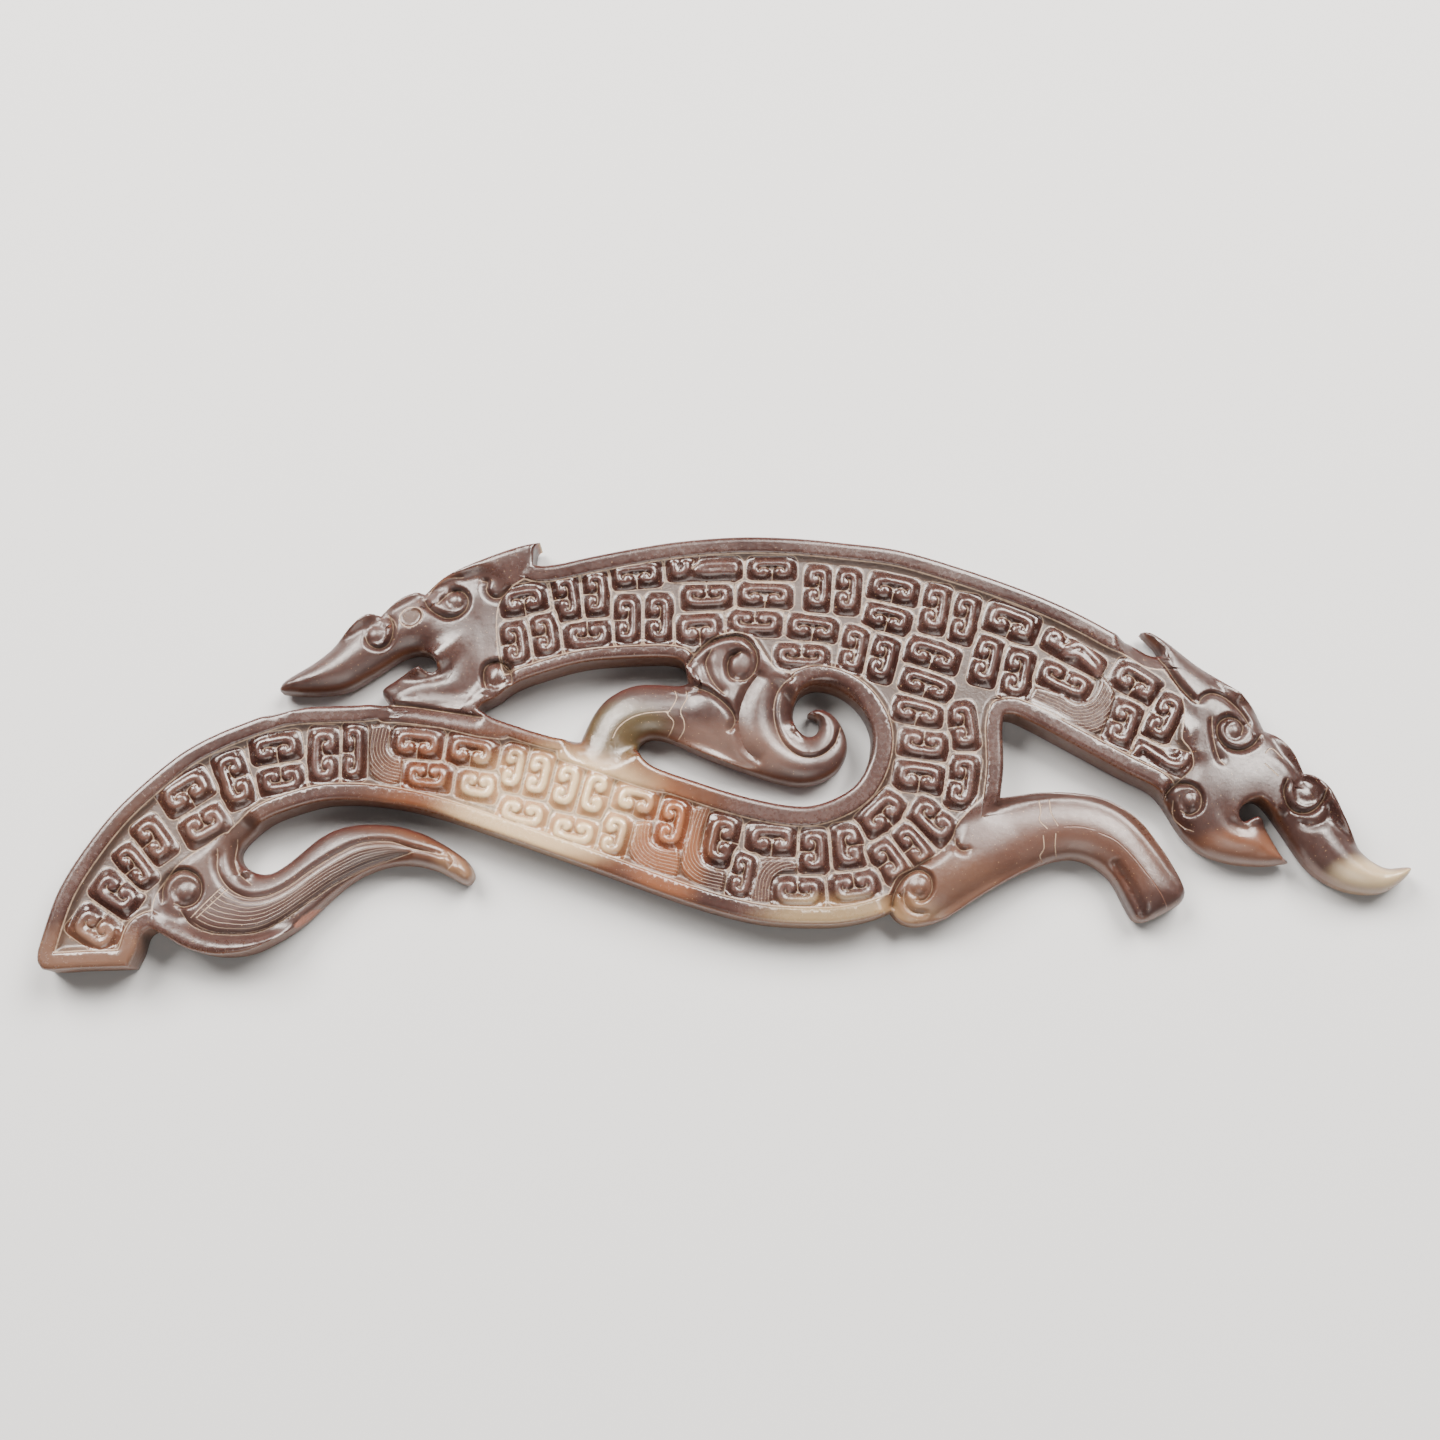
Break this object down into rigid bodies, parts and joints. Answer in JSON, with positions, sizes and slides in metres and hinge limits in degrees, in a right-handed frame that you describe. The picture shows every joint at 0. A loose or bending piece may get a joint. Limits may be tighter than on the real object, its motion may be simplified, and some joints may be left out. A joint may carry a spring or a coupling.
{
  "type": "openwork arc pendant",
  "caption": "Flat carved stone pendant in a long S-shaped arc, with a dragon head at each end, two cut-through windows and a face of raised scrolls; worn or hung on a cord, or shown flat",
  "frame": {"origin": "middle of the underside of the bounding box, on the plane the plate lies on", "axes": "+X along the plate from the tail's foot towards the head with the upturned snout, +Y towards the plate's arched upper edge, +Z out of the carved face"},
  "size_m": [0.1376, 0.0442, 0.005],
  "materials": {
    "jade": "polished translucent jade, mauve-brown with honey and cream patches"
  },
  "bodies": {
    "root": {"jade_pendant": "jade"}
  },
  "joints": []
}
